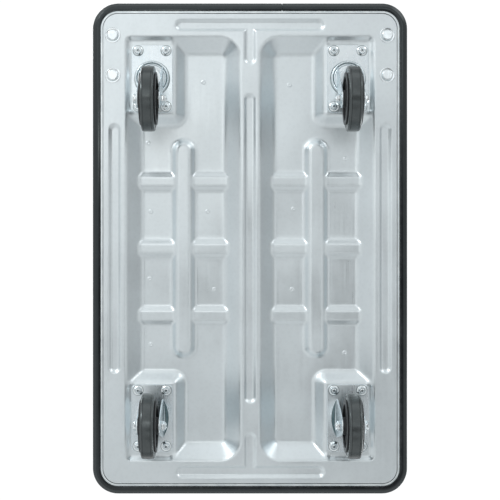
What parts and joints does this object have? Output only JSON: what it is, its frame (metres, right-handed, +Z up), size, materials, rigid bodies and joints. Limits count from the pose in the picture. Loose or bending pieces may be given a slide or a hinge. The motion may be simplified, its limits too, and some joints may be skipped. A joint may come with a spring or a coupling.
{
  "type": "platform trolley",
  "caption": "Low platform trolley with a pressed steel deck, a rubber bumper all round, swivel and fixed casters, and a push handle that folds flat on the deck.",
  "frame": {"origin": "on the floor under the middle of the deck", "axes": "+X across the deck to the right when seen from the handle end, +Y along the deck from the handle end to the far end, +Z up"},
  "size_m": [0.472, 0.736, 0.2085],
  "materials": {
    "pressed_zinc": "bright zinc coat on pressed sheet, satin",
    "deck_vinyl": "ribbed black vinyl",
    "bumper_rubber": "satin black rubber",
    "caster_zinc": "bright blue-white zinc plate",
    "fastener_zinc": "bright zinc plate",
    "wheel_plastic": "moulded black polypropylene",
    "tyre_rubber": "dark grey moulded rubber",
    "handle_chrome": "bright plated tube",
    "trim_plastic": "black moulded plastic"
  },
  "bodies": {
    "deck": {"under_pan": "pressed_zinc", "deck_plate": "pressed_zinc", "deck_mat": "deck_vinyl", "bumper": "bumper_rubber", "bracket_left": "caster_zinc", "bracket_right": "caster_zinc", "bracket_bolts": "fastener_zinc", "bracket_washers": "fastener_zinc", "bracket_spacers": "fastener_zinc", "bracket_nuts": "fastener_zinc", "stop_pins": "fastener_zinc", "pivot_bolts": "fastener_zinc", "pivot_nuts": "fastener_zinc", "rest_buffers": "bumper_rubber", "swivel_plate_left": "caster_zinc", "swivel_plate_right": "caster_zinc", "kingpin_left": "fastener_zinc", "kingpin_right": "fastener_zinc", "race_cap_left": "caster_zinc", "race_cap_right": "caster_zinc", "bearing_balls_left": "fastener_zinc", "bearing_balls_right": "fastener_zinc", "fixed_bracket_left": "caster_zinc", "fixed_bracket_right": "caster_zinc", "fixed_sleeves": "fastener_zinc", "fixed_axle_bolts": "fastener_zinc", "fixed_axle_nuts": "fastener_zinc", "caster_bolts": "fastener_zinc", "caster_nuts": "fastener_zinc"},
    "swivel_left": {"swivel_fork_left": "caster_zinc", "swivel_sleeve_left": "fastener_zinc", "swivel_axle_bolt_left": "fastener_zinc", "swivel_axle_nut_left": "fastener_zinc"},
    "swivel_right": {"swivel_fork_right": "caster_zinc", "swivel_sleeve_right": "fastener_zinc", "swivel_axle_bolt_right": "fastener_zinc", "swivel_axle_nut_right": "fastener_zinc"},
    "wheel_swivel_left": {"wheel_swivel_left": "wheel_plastic", "tyre_swivel_left": "tyre_rubber"},
    "wheel_swivel_right": {"wheel_swivel_right": "wheel_plastic", "tyre_swivel_right": "tyre_rubber"},
    "wheel_fixed_left": {"wheel_fixed_left": "wheel_plastic", "tyre_fixed_left": "tyre_rubber"},
    "wheel_fixed_right": {"wheel_fixed_right": "wheel_plastic", "tyre_fixed_right": "tyre_rubber"},
    "handle": {"handle_tube": "handle_chrome", "handle_grip": "bumper_rubber", "leg_plugs": "trim_plastic"},
    "release": {"drop_bar": "fastener_zinc", "foot_sleeve": "bumper_rubber", "bar_rings": "trim_plastic"}
  },
  "joints": [
    {"name": "swivel_left_turn", "type": "hinge", "parent": "deck", "child": "swivel_left", "pos_m": [-0.147, -0.255, 0.115], "axis": [0, 0, 1], "continuous": true},
    {"name": "swivel_right_turn", "type": "hinge", "parent": "deck", "child": "swivel_right", "pos_m": [0.147, -0.255, 0.115], "axis": [0, 0, 1], "continuous": true},
    {"name": "wheel_swivel_left_spin", "type": "hinge", "parent": "swivel_left", "child": "wheel_swivel_left", "pos_m": [-0.147, -0.215, 0.047], "axis": [1, 0, 0], "continuous": true},
    {"name": "wheel_swivel_right_spin", "type": "hinge", "parent": "swivel_right", "child": "wheel_swivel_right", "pos_m": [0.147, -0.215, 0.047], "axis": [1, 0, 0], "continuous": true},
    {"name": "wheel_fixed_left_spin", "type": "hinge", "parent": "deck", "child": "wheel_fixed_left", "pos_m": [-0.147, 0.255, 0.047], "axis": [1, 0, 0], "continuous": true},
    {"name": "wheel_fixed_right_spin", "type": "hinge", "parent": "deck", "child": "wheel_fixed_right", "pos_m": [0.147, 0.255, 0.047], "axis": [1, 0, 0], "continuous": true},
    {"name": "handle_fold", "type": "hinge", "parent": "deck", "child": "handle", "pos_m": [0, -0.29, 0.1628], "axis": [1, 0, 0], "range_deg": [0, 90]},
    {"name": "release_drop", "type": "slide", "parent": "handle", "child": "release", "axis": [0, -1, 0], "range_m": [0, 0.014]}
  ]
}
